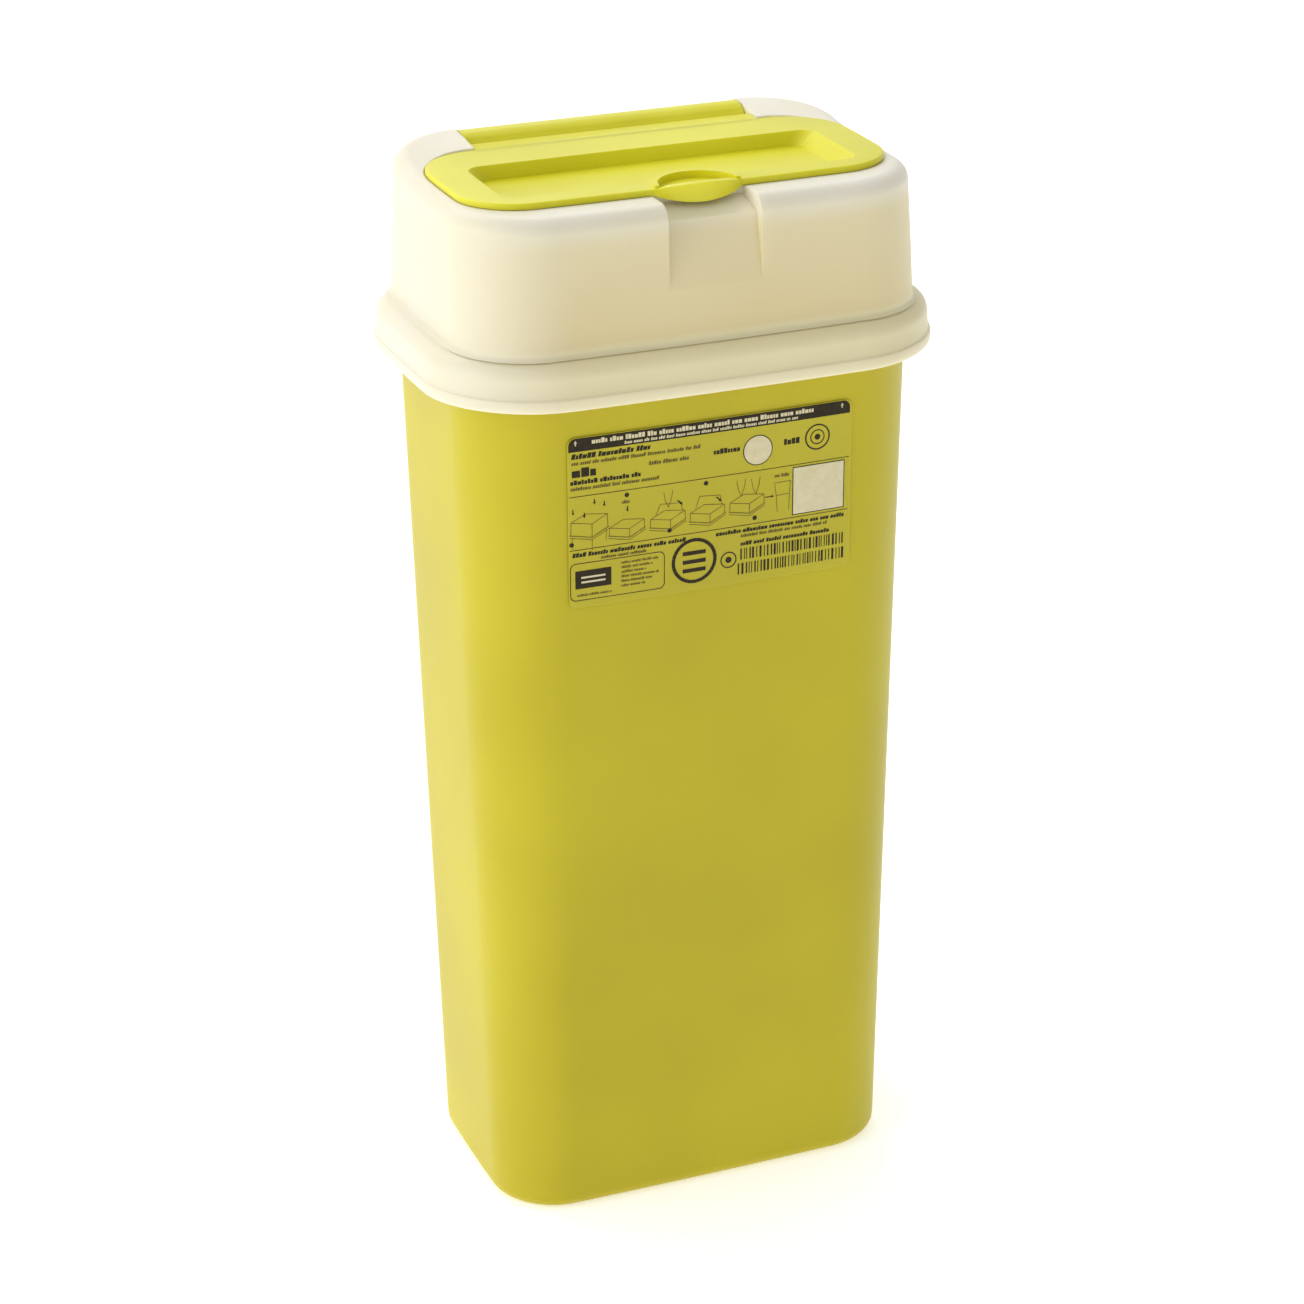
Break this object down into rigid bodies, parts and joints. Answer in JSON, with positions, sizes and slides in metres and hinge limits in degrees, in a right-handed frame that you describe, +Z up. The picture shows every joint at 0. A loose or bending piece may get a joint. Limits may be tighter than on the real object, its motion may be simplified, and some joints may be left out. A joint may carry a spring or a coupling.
{
  "type": "sharps container",
  "caption": "Tall rounded rectangular sharps bin: drafted yellow tub, cream push-fit dome lid with a wide skirt, hinged yellow flap with tray and thumb tab.",
  "frame": {"origin": "centre of the foot, on the surface the container stands on", "axes": "+Z up, +X along the long side, -Y towards the label and the thumb tab"},
  "size_m": [0.192, 0.1326, 0.3963],
  "materials": {
    "tub_plastic": "satin moulded yellow polypropylene, slightly translucent",
    "lid_plastic": "satin moulded natural cream polypropylene, translucent",
    "flap_plastic": "satin moulded yellow polypropylene",
    "label": "clear glossy film with dark print"
  },
  "bodies": {
    "container": {"container_body": "tub_plastic", "label_film": "label"},
    "lid": {"lid_shell": "lid_plastic"},
    "flap": {"flap": "flap_plastic"}
  },
  "joints": [
    {"name": "lid_lift", "type": "slide", "parent": "container", "child": "lid", "axis": [0, 0, 1], "range_m": [0, 0.05]},
    {"name": "flap_hinge", "type": "hinge", "parent": "lid", "child": "flap", "pos_m": [0, 0.0492, 0.3873], "axis": [-1, 0, 0], "range_deg": [0, 110]}
  ]
}
